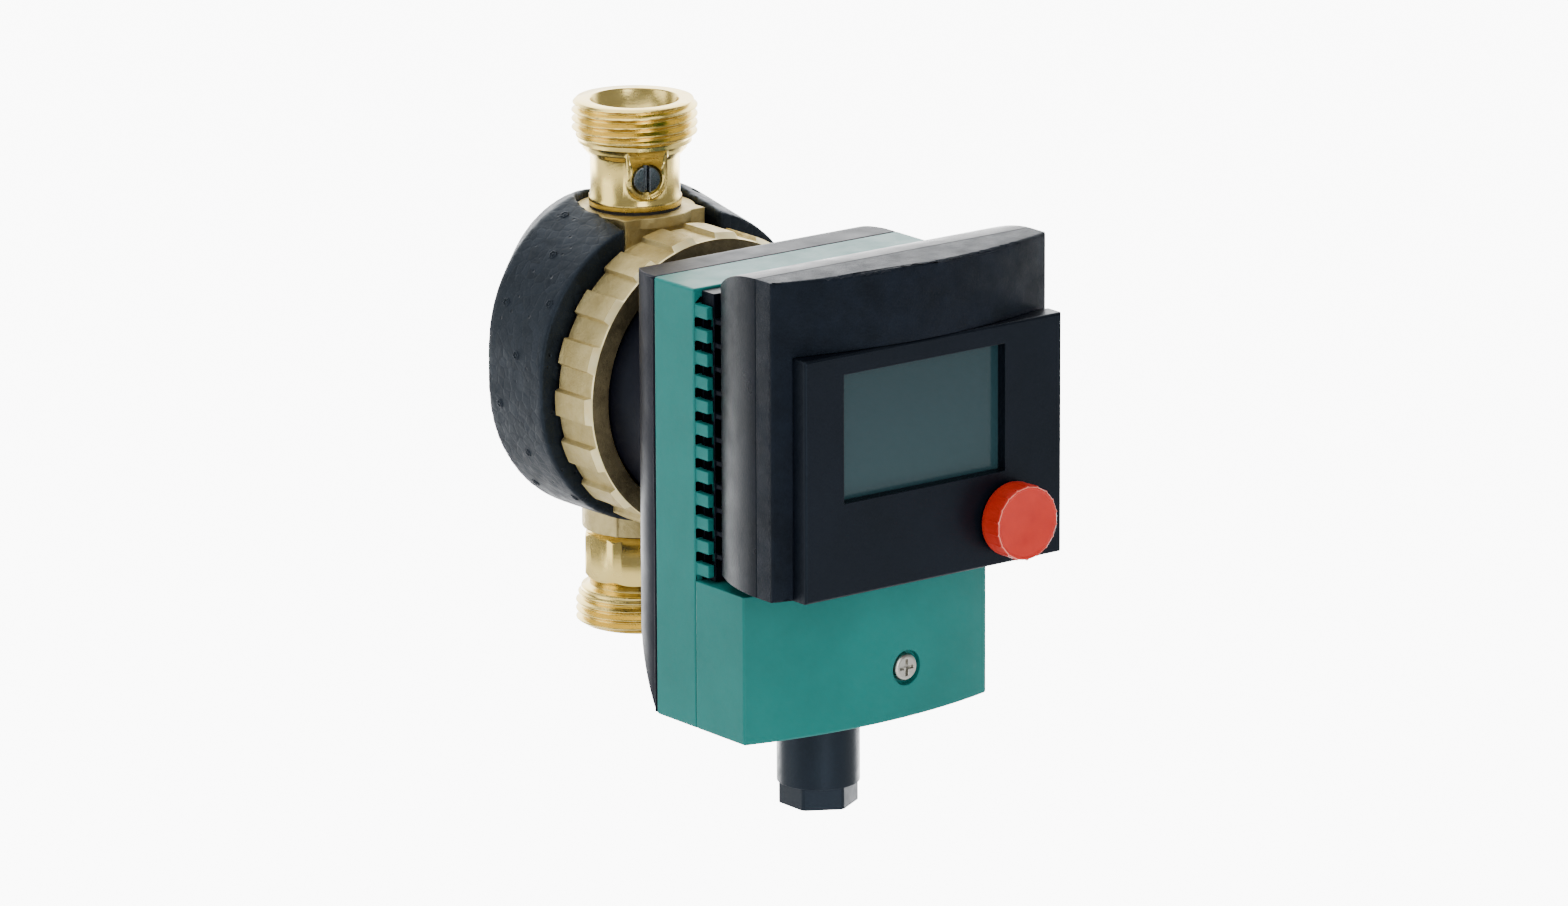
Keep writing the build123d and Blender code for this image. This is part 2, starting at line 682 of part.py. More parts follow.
# ---------------------------------------------------------------- writing the pieces
pieces = {
    "pump_housing": pump_housing(),
    "union_ring": union_ring(),
    "insulation_left": insulation_half(-1),
    "insulation_right": insulation_half(1),
    "ball_valve_body": ball_valve_body(),
    "valve_ball": valve_ball(),
    "valve_spindle": valve_spindle(),
    "ball_seat_lower": ball_seat(42.8, 46.2),
    "ball_seat_upper": ball_seat(55.8, 59.6),
    "ball_retainer": ball_retainer(),
    "upper_seal": fitting_seal(boss_top, boss_top + joint_gap),
    "lower_seal": fitting_seal(boss_bottom - joint_gap, boss_bottom),
    "check_valve_body": check_valve_body(),
    "check_valve_cone": check_cone(),
    "check_valve_guide": check_guide(),
    "check_valve_spring": check_spring(),
    "bearing_plate": bearing_plate(),
    "impeller": impeller(),
    "rotor_shaft": rotor_shaft(),
    "rotor_core": rotor_core(),
    "plate_bearing": motor_bearing(-20.2, -27.0),
    "can_bearing": motor_bearing(-61.0, -67.8),
    "can_bearing_seat": rear_bearing_seat(),
    "separating_can": separating_can(),
    "housing_gasket": housing_gasket(),
    "stator_core": stator_core(),
    "stator_windings": stator_windings(),
    "motor_housing": motor_housing(),
    "rear_casing": rear_casing(),
    "case_screws": case_screws(),
    "middle_shell": middle_shell(),
    "front_cover": front_cover(),
    "cover_screw": cover_screw(),
    "power_board": power_board(),
    "terminal_block": terminal_block(),
    "board_capacitor": board_capacitor(),
    "board_transformer": board_transformer(),
    "board_relay": board_relay(),
    "board_link": board_link(),
    "display_board": display_board(),
    "lcd_module": lcd_module(),
    "lcd_window": lcd_window(),
    "hood_shell": hood_shell(),
    "hood_bezel": hood_bezel(),
    "front_panel": front_panel(),
    "encoder": encoder(),
    "encoder_plunger": encoder_plunger(),
    "knob_shaft": knob_shaft(),
    "knob": knob(),
    "gland_body": gland_body(),
    "gland_seal": gland_seal(),
    "gland_nut": gland_nut(),
}

os.makedirs("parts", exist_ok=True)
for name, shape in pieces.items():
    export_step(Pos(0, 0, port_half_length) * shape, f"parts/{name}.step")
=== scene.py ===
import json
import math

import bmesh
import bpy
from mathutils import Matrix, Vector, noise
from mathutils.bvhtree import BVHTree

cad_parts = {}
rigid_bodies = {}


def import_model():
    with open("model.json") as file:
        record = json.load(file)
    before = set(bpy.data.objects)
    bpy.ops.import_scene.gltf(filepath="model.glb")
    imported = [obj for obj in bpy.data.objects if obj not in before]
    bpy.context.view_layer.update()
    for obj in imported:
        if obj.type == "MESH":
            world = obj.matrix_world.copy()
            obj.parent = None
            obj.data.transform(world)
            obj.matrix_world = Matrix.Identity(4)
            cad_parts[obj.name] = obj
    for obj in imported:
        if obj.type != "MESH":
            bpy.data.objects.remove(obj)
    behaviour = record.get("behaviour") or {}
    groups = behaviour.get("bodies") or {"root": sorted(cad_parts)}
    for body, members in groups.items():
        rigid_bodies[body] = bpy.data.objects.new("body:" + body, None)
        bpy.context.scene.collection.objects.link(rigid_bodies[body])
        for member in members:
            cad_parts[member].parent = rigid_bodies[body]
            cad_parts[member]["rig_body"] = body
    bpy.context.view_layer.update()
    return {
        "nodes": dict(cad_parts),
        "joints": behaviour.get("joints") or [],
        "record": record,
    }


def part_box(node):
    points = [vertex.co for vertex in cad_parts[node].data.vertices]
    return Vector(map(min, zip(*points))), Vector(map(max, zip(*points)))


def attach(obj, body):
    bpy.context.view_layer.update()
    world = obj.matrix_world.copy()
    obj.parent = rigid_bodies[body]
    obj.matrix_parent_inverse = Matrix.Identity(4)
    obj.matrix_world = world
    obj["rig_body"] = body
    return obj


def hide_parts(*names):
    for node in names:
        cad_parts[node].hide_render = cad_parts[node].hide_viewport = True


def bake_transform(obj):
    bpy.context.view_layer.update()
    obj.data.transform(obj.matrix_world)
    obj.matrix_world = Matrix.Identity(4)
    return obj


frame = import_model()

MM = 0.001
joints = {joint["name"]: joint for joint in frame["joints"]}
MOTOR_Z = joints["rotor_spin"]["pos_m"][2]          # height of the motor axis
PORT_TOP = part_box("ball_valve_body")[1].z           # the upper port's end face
PORT_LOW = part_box("check_valve_body")[0].z          # the lower port's end face


# ---------------------------------------------------------------- camera, light and floor
SHOT_AWAY = (0.607, 0.795, 0.0)       # horizontal direction in which the product shot looks
SHOT_ACROSS = (0.795, -0.607, 0.0)    # horizontal direction across it
FLOOR_Z = -0.30


def camera():
    """A product shot from the front left and a little above, through a long lens."""
    azimuth, elevation, roll = math.radians(37.379), math.radians(14.998), math.radians(-0.226)
    distance = 2.63407
    target = Vector((0.01771, -0.04, 0.05030))
    back = Vector((-math.sin(azimuth) * math.cos(elevation),
                   -math.cos(azimuth) * math.cos(elevation), math.sin(elevation)))
    data = bpy.data.cameras.new("camera")
    data.lens, data.sensor_width = 233.36, 36.0
    data.clip_start, data.clip_end = 0.1, 50.0
    cam = bpy.data.objects.new("camera", data)
    cam.location = target + back * distance
    turn = (-back).to_track_quat("-Z", "Y").to_matrix() @ Matrix.Rotation(roll, 3, "Z")
    cam.rotation_euler = turn.to_euler()
    bpy.context.scene.collection.objects.link(cam)
    bpy.context.scene.camera = cam


def area_light(name, place, aim, size, power):
    """White panel of a size in metres and a power in watts."""
    data = bpy.data.lights.new(name, "AREA")
    data.shape, data.size, data.size_y = "RECTANGLE", size[0], size[1]
    data.energy = power
    lamp = bpy.data.objects.new(name, data)
    lamp.location = Vector(place)
    lamp.rotation_euler = (Vector(aim) - Vector(place)).to_track_quat("-Z", "Y").to_euler()
    bpy.context.scene.collection.objects.link(lamp)


def measured(tree, coordinates, direction):
    """Node output with the coordinates' measure along a direction."""
    product = tree.nodes.new("ShaderNodeVectorMath")
    product.operation = "DOT_PRODUCT"
    product.inputs[1].default_value = direction
    tree.links.new(coordinates, product.inputs[0])
    return product.outputs["Value"]


def smooth_range(tree, value, start, stop, low, high):
    """Node output that goes smoothly from low at start to high at stop."""
    made = tree.nodes.new("ShaderNodeMapRange")
    made.interpolation_type = "SMOOTHSTEP"
    for socket, number in (("From Min", start), ("From Max", stop), ("To Min", low), ("To Max", high)):
        made.inputs[socket].default_value = number
    tree.links.new(value, made.inputs["Value"])
    return made.outputs["Result"]


def worked_out(tree, operation, *values):
    """Node output of an arithmetic operation on other outputs."""
    made = tree.nodes.new("ShaderNodeMath")
    made.operation = operation
    for socket, value in zip(made.inputs, values):
        tree.links.new(value, socket)
    return made.outputs["Value"]


def studio():
    """White studio: bright on the far side, over a floor that glows behind the pump."""
    world = bpy.data.worlds.new("studio")
    world.use_nodes = True
    tree = world.node_tree
    sky = tree.nodes["Background"]
    sky.inputs["Color"].default_value = (1.0, 1.0, 1.0, 1.0)
    round_about = tree.nodes.new("ShaderNodeTexCoord").outputs["Generated"]
    away = measured(tree, round_about, SHOT_AWAY)
    tree.links.new(smooth_range(tree, away, 0.35, 0.95, 0.3, 6.0), sky.inputs["Strength"])
    bpy.context.scene.world = world
    middle = (0.0, -0.04, 0.06)
    area_light("ceiling", (-0.2, 0.1, 1.5), middle, (1.4, 1.4), 16)
    area_light("left", (-1.15, 0.45, 0.3), middle, (0.8, 1.1), 6.5)
    area_light("front", (-0.4, -1.25, 0.35), middle, (0.5, 1.2), 9)
    bpy.ops.mesh.primitive_plane_add(size=30, location=(0, 0, FLOOR_Z))
    floor = bpy.context.object
    floor.name = "floor"
    ground = bpy.data.materials.new("floor_white")
    ground.use_nodes = True
    tree = ground.node_tree
    paint = tree.nodes["Principled BSDF"]
    paint.inputs["Base Color"].default_value = (0.82, 0.82, 0.82, 1)
    paint.inputs["Roughness"].default_value = 0.9
    paint.inputs["Emission Color"].default_value = (1, 1, 1, 1)
    on_floor = tree.nodes.new("ShaderNodeTexCoord").outputs["Object"]
    behind = smooth_range(tree, measured(tree, on_floor, SHOT_AWAY), 0.42, 0.72, 0.0, 9.0)
    aside = worked_out(tree, "ABSOLUTE", measured(tree, on_floor, SHOT_ACROSS))
    in_line = smooth_range(tree, aside, 0.5, 1.5, 1.0, 0.0)
    glow = worked_out(tree, "MULTIPLY", behind, in_line)
    tree.links.new(glow, paint.inputs["Emission Strength"])
    floor.data.materials.append(ground)


# ---------------------------------------------------------------- how a material is put together
def srgb(red, green, blue):
    """Linear colour from display values of 0 to 255."""
    def linear(value):
        value /= 255
        return value / 12.92 if value <= 0.04045 else ((value + 0.055) / 1.055) ** 2.4
    return (linear(red), linear(green), linear(blue), 1.0)


class Look:
    """A node material in object coordinates, which are the model's own metres."""

    def __init__(self, name, colour, roughness, metallic=0.0, **sockets):
        self.material = bpy.data.materials.new(name)
        self.material.use_nodes = True
        tree = self.material.node_tree
        self.nodes, self.links = tree.nodes, tree.links
        self.shader = tree.nodes["Principled BSDF"]
        self.shader.inputs["Base Color"].default_value = colour
        self.shader.inputs["Roughness"].default_value = roughness
        self.shader.inputs["Metallic"].default_value = metallic
        for socket, value in sockets.items():
            self.shader.inputs[socket.replace("_", " ")].default_value = value
        self.place = self.nodes.new("ShaderNodeTexCoord").outputs["Object"]
        self.normal = None

    def node(self, kind, **settings):
        """Add a shader node of a kind."""
        made = self.nodes.new("ShaderNode" + kind)
        for key, value in settings.items():
            setattr(made, key, value)
        return made

    def noise(self, size, detail=3.0, rough=0.55):
        """Noise whose blotches are about size metres across."""
        made = self.node("TexNoise")
        self.links.new(self.place, made.inputs["Vector"])
        made.inputs["Scale"].default_value = 1 / size
        made.inputs["Detail"].default_value = detail
        made.inputs["Roughness"].default_value = rough
        return made.outputs["Fac"]

    def cells(self, size, feature="F1", output="Distance"):
        """Voronoi cells about size metres across."""
        made = self.node("TexVoronoi", feature=feature)
        self.links.new(self.place, made.inputs["Vector"])
        made.inputs["Scale"].default_value = 1 / size
        return made.outputs[output]

    def rings(self, spacing, direction, wobble):
        """Fine turning lines across one axis."""
        made = self.node("TexWave", wave_type="BANDS", bands_direction=direction)
        self.links.new(self.place, made.inputs["Vector"])
        made.inputs["Scale"].default_value = 0.05 * 2 * math.pi / spacing
        made.inputs["Distortion"].default_value = wobble
        made.inputs["Detail"].default_value = 2.0
        return made.outputs["Fac"]

    def ramp(self, value, *stops):
        """Colour ramp with (position, colour) stops."""
        made = self.node("ValToRGB")
        self.links.new(value, made.inputs["Fac"])
        points = made.color_ramp.elements
        points[0].position, points[0].color = stops[0]
        points[1].position, points[1].color = stops[-1]
        for position, colour in stops[1:-1]:
            points.new(position).color = colour
        return made.outputs["Color"]

    def spread(self, value, low, high, from_low=0.3, from_high=0.7):
        """Value brought from one range to another, and kept inside it."""
        made = self.node("MapRange")
        self.links.new(value, made.inputs["Value"])
        made.inputs["From Min"].default_value = from_low
        made.inputs["From Max"].default_value = from_high
        made.inputs["To Min"].default_value = low
        made.inputs["To Max"].default_value = high
        return made.outputs["Result"]

    def mixed(self, share, colour_a, colour_b):
        """Blend of two colours, each given as numbers or as a node output."""
        made = self.node("Mix", data_type="RGBA")
        self.links.new(share, made.inputs["Factor"])
        for socket, colour in ((made.inputs[6], colour_a), (made.inputs[7], colour_b)):
            if isinstance(colour, tuple):
                socket.default_value = colour
            else:
                self.links.new(colour, socket)
        return made.outputs[2]

    def colour(self, value, *stops):
        """Base colour ramped over a value."""
        self.links.new(self.ramp(value, *stops), self.shader.inputs["Base Color"])

    def roughness(self, value, low, high):
        """Roughness spread over a value."""
        self.links.new(self.spread(value, low, high), self.shader.inputs["Roughness"])

    def bump(self, value, depth, strength=1.0):
        """Relief of depth metres, on top of any relief already given."""
        made = self.node("Bump")
        made.inputs["Strength"].default_value = strength
        made.inputs["Distance"].default_value = depth
        self.links.new(value, made.inputs["Height"])
        if self.normal:
            self.links.new(self.normal, made.inputs["Normal"])
        self.normal = made.outputs["Normal"]
        self.links.new(self.normal, self.shader.inputs["Normal"])


# ---------------------------------------------------------------- materials
def green_shell():
    """Satin green moulding with a fine orange-peel surface and faint handling marks."""
    look = Look("green_shell", srgb(8, 116, 110), 0.38, Specular_IOR_Level=0.22)
    look.colour(look.noise(0.03, 4), (0.35, srgb(5, 111, 106)), (0.65, srgb(12, 120, 115)))
    look.roughness(look.noise(0.006, 5), 0.33, 0.45)
    look.bump(look.noise(0.0011, 3), 0.00003)
    look.bump(look.noise(0.012, 2), 0.00006, 0.4)
    return look.material


BLUE_GLOSS = (0.62, 0.8, 1.0, 1.0)    # tint of the reflections in the black plastics


def hood_black():
    """Blue-black hood with a fine spark-eroded grain."""
    look = Look("hood_black", srgb(9, 12, 20), 0.34,
                Specular_IOR_Level=0.09, Specular_Tint=BLUE_GLOSS)
    look.colour(look.noise(0.012, 6, 0.65), (0.35, srgb(7, 10, 17)), (0.75, srgb(15, 20, 30)))
    look.roughness(look.noise(0.008, 5), 0.27, 0.4)
    look.bump(look.noise(0.0006, 4, 0.7), 0.00006)
    return look.material


def bezel_black():
    """The bezel's coarser grain, which breaks up reflections."""
    look = Look("bezel_black", srgb(10, 14, 22), 0.5,
                Specular_IOR_Level=0.16, Specular_Tint=BLUE_GLOSS)
    look.colour(look.noise(0.01, 6, 0.7), (0.35, srgb(8, 11, 18)), (0.75, srgb(18, 24, 35)))
    look.roughness(look.noise(0.006, 5), 0.42, 0.58)
    look.bump(look.noise(0.0005, 4, 0.8), 0.00016)
    return look.material


def panel_black():
    """Flat panel round the display, with a fine even grain."""
    look = Look("panel_black", srgb(7, 10, 18), 0.36,
                Specular_IOR_Level=0.22, Specular_Tint=BLUE_GLOSS)
    look.colour(look.noise(0.025, 4), (0.35, srgb(6, 9, 16)), (0.7, srgb(11, 15, 24)))
    look.roughness(look.noise(0.01, 5), 0.3, 0.44)
    look.bump(look.noise(0.0005, 3, 0.7), 0.00004)
    return look.material


def casing_black():
    """Smooth dark motor casing."""
    look = Look("casing_black", srgb(15, 16, 26), 0.42,
                Specular_IOR_Level=0.13, Specular_Tint=BLUE_GLOSS)
    look.colour(look.noise(0.03, 4), (0.35, srgb(13, 14, 23)), (0.7, srgb(21, 22, 33)))
    look.roughness(look.noise(0.01, 5), 0.36, 0.5)
    look.bump(look.noise(0.0012, 3), 0.00003)
    return look.material


def display_glass():
    """Grey-teal cover over the switched-off display."""
    look = Look("display_glass", srgb(36, 62, 68), 0.14, Specular_IOR_Level=0.35)
    low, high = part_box("lcd_window")
    split = look.node("SeparateXYZ")
    look.links.new(look.place, split.inputs["Vector"])
    # painted shade: the glass is coloured darker towards the top
    top_shade = look.spread(split.outputs["Z"], 0, 1, low.z, high.z)
    look.colour(top_shade, (0.0, srgb(40, 67, 73)), (1.0, srgb(32, 56, 62)))
    look.roughness(look.noise(0.02, 5), 0.1, 0.18)
    look.bump(look.noise(0.02, 2), 0.00002, 0.3)
    return look.material


def knob_red():
    """Red moulding of the knob."""
    look = Look("knob_red", srgb(205, 42, 28), 0.42, Specular_IOR_Level=0.4)
    look.colour(look.noise(0.006, 4), (0.3, srgb(198, 38, 25)), (0.7, srgb(212, 48, 33)))
    look.roughness(look.noise(0.003, 4), 0.36, 0.5)
    look.bump(look.noise(0.0006, 3), 0.00003)
    return look.material


def knob_highlight_red():
    """The knob's front rim: smoother, and paler red as a painted highlight."""
    look = Look("knob_highlight_red", srgb(240, 128, 110), 0.3, Specular_IOR_Level=0.5)
    look.colour(look.noise(0.002, 4), (0.3, srgb(232, 104, 88)), (0.7, srgb(248, 150, 132)))
    look.roughness(look.noise(0.002, 4), 0.24, 0.38)
    look.bump(look.noise(0.0006, 3), 0.00002)
    return look.material


def bead_foam():
    """Moulded bead foam: a dull blue-black skin, faintly mottled, with the odd open pore."""
    look = Look("bead_foam", srgb(16, 20, 26), 0.5,
                Specular_IOR_Level=0.33, Specular_Tint=BLUE_GLOSS)
    tone = look.node("RGBToBW")
    look.links.new(look.cells(0.0030, output="Color"), tone.inputs["Color"])
    beads = look.ramp(tone.outputs["Val"], (0.1, srgb(11, 15, 20)), (0.9, srgb(22, 27, 34)))
    pores = look.spread(look.cells(0.0042), 1, 0, 0.05, 0.13)
    look.links.new(look.mixed(pores, beads, srgb(3, 4, 6)), look.shader.inputs["Base Color"])
    look.roughness(look.noise(0.004, 4), 0.42, 0.62)
    look.bump(look.spread(look.cells(0.0042), 0, 1, 0.05, 0.13), 0.00025, 0.8)
    joint = look.spread(look.cells(0.0030, "DISTANCE_TO_EDGE"), 0, 1, 0.0, 0.14)
    look.bump(joint, 0.00005, 0.7)
    look.bump(look.noise(0.0009, 3), 0.00008, 0.6)
    return look.material


def cast_brass():
    """Sand-cast brass: grainy, dull and a little uneven in colour."""
    look = Look("cast_brass", srgb(192, 174, 120), 0.5, 1.0)
    look.colour(look.noise(0.009, 6, 0.65), (0.3, srgb(172, 154, 102)), (0.7, srgb(208, 192, 138)))
    look.roughness(look.noise(0.002, 5), 0.4, 0.6)
    look.bump(look.noise(0.0009, 5, 0.7), 0.00022, 0.9)
    look.bump(look.noise(0.006, 3), 0.00025, 0.5)
    return look.material


def turned_brass():
    """Bright turned brass with fine tool lines round it."""
    look = Look("turned_brass", srgb(240, 213, 126), 0.24, 1.0)
    look.colour(look.noise(0.012, 5, 0.6), (0.3, srgb(234, 206, 118)), (0.7, srgb(246, 221, 136)))
    look.roughness(look.noise(0.003, 5), 0.18, 0.3)
    look.bump(look.rings(0.00035, "Z", 0.6), 0.000006)
    look.bump(look.noise(0.004, 3), 0.00003, 0.4)
    return look.material


def chamfer_highlight_brass():
    """The union ring's machined front chamfers, coloured paler than turned brass as a painted
    highlight.
    """
    look = Look("chamfer_highlight_brass", srgb(255, 240, 182), 0.4, 0.5)
    look.colour(look.noise(0.003, 4), (0.3, srgb(248, 226, 160)), (0.7, srgb(255, 242, 188)))
    look.roughness(look.noise(0.002, 5), 0.3, 0.48)
    look.bump(look.noise(0.0015, 3), 0.00004, 0.6)
    return look.material


def land_painted_shade_brass():
    """The union ring's front land, left as cast, its colour darkened as painted shade."""
    look = Look("land_painted_shade_brass", srgb(132, 120, 90), 0.55, 0.9)
    look.colour(look.noise(0.007, 6, 0.65), (0.3, srgb(112, 101, 74)), (0.7, srgb(148, 135, 102)))
    look.roughness(look.noise(0.002, 5), 0.46, 0.64)
    look.bump(look.noise(0.0009, 5, 0.7), 0.0002, 0.9)
    return look.material


def gland_black():
    """Nylon of the cable gland."""
    look = Look("gland_black", srgb(14, 19, 27), 0.36,
                Specular_IOR_Level=0.3, Specular_Tint=BLUE_GLOSS)
    look.colour(look.noise(0.008, 4), (0.3, srgb(12, 16, 23)), (0.7, srgb(18, 24, 33)))
    look.roughness(look.noise(0.004, 4), 0.3, 0.46)
    look.bump(look.noise(0.0008, 3), 0.00003)
    return look.material


def rubber_black():
    """Dull rubber of the seals."""
    look = Look("rubber_black", srgb(16, 16, 17), 0.7)
    look.roughness(look.noise(0.002, 4), 0.6, 0.82)
    look.bump(look.noise(0.0006, 4), 0.00004)
    return look.material


def metal(name, colour, low, high, spacing=0.0003, direction="Z"):
    """Plain worked metal: colour, a roughness range and fine tool lines."""
    look = Look(name, colour, (low + high) / 2, 1.0)
    darker = tuple(channel * 0.86 for channel in colour[:3]) + (1.0,)
    look.colour(look.noise(0.006, 5), (0.3, darker), (0.7, colour))
    look.roughness(look.noise(0.002, 5), low, high)
    look.bump(look.rings(spacing, direction, 1.0), 0.000005)
    return look.material


def plastic(name, colour, low=0.35, high=0.5, grain=0.0007):
    """Moulded plastic with a fine grain and slight unevenness."""
    look = Look(name, colour, (low + high) / 2)
    darker = tuple(channel * 0.85 for channel in colour[:3]) + (1.0,)
    look.colour(look.noise(0.006, 4), (0.3, darker), (0.7, colour))
    look.roughness(look.noise(0.004, 4), low, high)
    look.bump(look.noise(grain, 3), 0.00003)
    return look.material


def winding_copper():
    """Enamelled copper wire, wound in rows."""
    look = Look("winding_copper", srgb(176, 96, 52), 0.3, 0.9)
    look.colour(look.noise(0.004, 4), (0.3, srgb(150, 76, 40)), (0.7, srgb(190, 108, 62)))
    look.roughness(look.noise(0.002, 4), 0.22, 0.4)
    look.bump(look.rings(0.0008, "X", 1.5), 0.0002)
    return look.material


def board_green():
    """Solder mask of the circuit boards."""
    look = Look("board_green", srgb(20, 84, 50), 0.35)
    look.colour(look.noise(0.003, 2), (0.45, srgb(16, 72, 42)), (0.55, srgb(26, 96, 58)))
    look.roughness(look.noise(0.004, 4), 0.28, 0.42)
    look.bump(look.cells(0.0025, "DISTANCE_TO_EDGE"), 0.00003)
    return look.material


LOOKS = {
    "cast_brass": cast_brass(), "machined_brass": turned_brass(), "green_shell": green_shell(),
    "black_casing": casing_black(), "black_hood": hood_black(), "black_panel": panel_black(),
    "display_glass": display_glass(), "red_knob": knob_red(), "foam_black": bead_foam(),
    "gland_black": gland_black(), "seal_rubber": rubber_black(),
    "zinc_steel": metal("zinc_steel", srgb(196, 194, 186), 0.24, 0.4),
    "dark_steel": metal("dark_steel", srgb(118, 124, 130), 0.2, 0.34, 0.0002, "X"),
    "stainless": metal("stainless", srgb(190, 190, 188), 0.2, 0.36),
    "chromed_ball": metal("chromed_ball", srgb(222, 222, 224), 0.05, 0.14),
    "rotor_steel": metal("rotor_steel", srgb(150, 150, 150), 0.25, 0.4, 0.0005, "Y"),
    "laminations": metal("laminations", srgb(120, 120, 124), 0.35, 0.55, 0.0005, "Y"),
    "winding_copper": winding_copper(), "board_green": board_green(),
    "seat_plastic": plastic("seat_plastic", srgb(236, 236, 230)),
    "check_plastic": plastic("check_plastic", srgb(230, 230, 224)),
    "impeller_plastic": plastic("impeller_plastic", srgb(206, 196, 166)),
    "carbon": plastic("carbon", srgb(38, 38, 38), 0.2, 0.32),
    "component_grey": plastic("component_grey", srgb(120, 124, 130)),
    "component_dark": plastic("component_dark", srgb(34, 35, 38)),
    "lcd_body": plastic("lcd_body", srgb(120, 126, 126)),
    "chamfer_highlight": chamfer_highlight_brass(), "land_painted_shade": land_painted_shade_brass(), "knob_highlight": knob_highlight_red(),
    "coarse_hood": bezel_black(),
}
slots = {row["node"]: row["material_slot"] for row in frame["record"]["subparts"]}


def paint(piece, slot):
    """Give a piece one look."""
    piece.data.materials.clear()
    piece.data.materials.append(LOOKS[slot])


for node, piece in frame["nodes"].items():
    paint(piece, "coarse_hood" if node == "hood_bezel" else slots[node])
    for polygon in piece.data.polygons:
        polygon.material_index = 0


# ---------------------------------------------------------------- mesh tools
def add_piece(name, mesh, node, smooth_angle=35, rides=True):
    """Link a mesh as the better-looking stand-in for a CAD node, riding on the node's body."""
    piece = bpy.data.objects.new(name, mesh)
    bpy.context.scene.collection.objects.link(piece)
    mesh.shade_smooth()
    mesh.set_sharp_from_angle(angle=math.radians(smooth_angle))
    paint(piece, slots[node])
    if rides:
        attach(piece, frame["nodes"][node]["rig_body"])
    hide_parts(node)
    return piece


def finished(work, name):
    """Mesh from a bmesh, with its faces turned outwards."""
    bmesh.ops.recalc_face_normals(work, faces=work.faces)
    mesh = bpy.data.meshes.new(name)
    work.to_mesh(mesh)
    work.free()
    return mesh


def add_loops(work, loops, capped=False):
    """Skin closed loops of points; the last joins the first, or both ends are capped."""
    rows = [[work.verts.new(point) for point in loop] for loop in loops]
    around = len(rows[0])
    pairs = list(zip(rows, rows[1:]))
    if capped:
        work.faces.new(rows[0])
        work.faces.new(rows[-1])
    else:
        pairs.append((rows[-1], rows[0]))
    for row, after in pairs:
        for column in range(around):
            beside = (column + 1) % around
            work.faces.new((row[column], after[column], after[beside], row[beside]))


def paint_rows(piece, looks, around, first=0):
    """Give rows of a skinned piece looks of their own, by the number of the row."""
    for row, look in looks.items():
        piece.data.materials.append(LOOKS[look])
        start = first + row * around
        for polygon in piece.data.polygons[start:start + around]:
            polygon.material_index = len(piece.data.materials) - 1


def about_port(radius, angle, height):
    """Point at an angle and a radius from the port axis."""
    return Vector((radius * math.cos(angle), radius * math.sin(angle), height))


def about_motor(radius, angle, y, centre=(0.0, MOTOR_Z)):
    """Point at an angle from the top, clockwise as seen from the front."""
    return Vector((centre[0] + radius * math.sin(angle), y, centre[1] + radius * math.cos(angle)))


def step_up(value, low, high):
    """Smooth step from 0 at low to 1 at high."""
    share = min(max((value - low) / (high - low), 0.0), 1.0)
    return share * share * (3 - 2 * share)


def welded(node):
    """CAD node as a bmesh with its seams closed."""
    work = bmesh.new()
    work.from_mesh(frame["nodes"][node].data)
    bmesh.ops.remove_doubles(work, verts=work.verts, dist=0.001 * MM)
    return work


# ---------------------------------------------------------------- threaded fittings
THREAD_PITCH = 2.309 * MM
THREAD_DEPTH = 1.48 * MM
FLAT_SHARE = 1.18             # above 1 it flattens the thread's crests and roots
RUN_OUT = (0.2 * THREAD_PITCH, 1.1 * THREAD_PITCH)    # where the thread fades in from its base
CHAMFER_DROP = 1.05 * MM      # how far the thread's start is cut back
PORT_BORE = 11.4 * MM
PORT_LIP = 0.35 * MM          # chamfer of the bore's mouth
COLLAR_OVERLAP = 0.1 * MM     # how far the threaded collar reaches into the body


def thread_radius(height, angle, crest, base, end):
    """Radius of a right-hand pipe thread with a chamfered start and a run-out."""
    turn = height / THREAD_PITCH - angle / (2 * math.pi)
    flank = 1 - 4 * abs(turn - round(turn))
    wave = min(max(FLAT_SHARE * flank, -1.0), 1.0)
    fade = step_up(abs(height - base), *RUN_OUT)
    radius = crest - THREAD_DEPTH * (1 - (0.5 + 0.5 * wave) * fade)
    return min(radius, crest - CHAMFER_DROP + abs(end - height))


def thread_collar(work, crest, base, end, throat, throat_end):
    """Closed threaded collar between two heights, with a stepped bore."""
    columns, rows = 180, 100
    angles = [2 * math.pi * column / columns for column in range(columns)]
    way = 1 if end > base else -1
    loops = []
    for row in range(rows + 1):
        height = base + (end - base) * row / rows
        loops.append([about_port(thread_radius(height, angle, crest, base, end), angle, height)
                      for angle in angles])
    inner = [(PORT_BORE + PORT_LIP, end), (PORT_BORE, end - way * PORT_LIP),
             (PORT_BORE, throat_end), (throat, throat_end), (throat, base)]
    for radius, height in inner:
        loops.append([about_port(radius, angle, height) for angle in angles])
    add_loops(work, loops)


def fitting(node, cut, keep, end, throat, throat_end):
    """Brass fitting: the CAD body up to a cut, and a real helical thread from there to its end."""
    work = welded(node)
    low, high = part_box(node)
    crest = (high.x - low.x) / 2
    everything = work.verts[:] + work.edges[:] + work.faces[:]
    made = bmesh.ops.bisect_plane(work, geom=everything, plane_co=(0, 0, cut),
                                  plane_no=(0, 0, keep), clear_outer=True, dist=0.0001 * MM)
    rim = [item for item in made["geom_cut"] if isinstance(item, bmesh.types.BMEdge)]
    bmesh.ops.triangle_fill(work, use_beauty=True, edges=rim)
    thread_collar(work, crest, cut - keep * COLLAR_OVERLAP, end, throat, throat_end)
    add_piece(node + "_threaded", finished(work, node + "_threaded"), node)


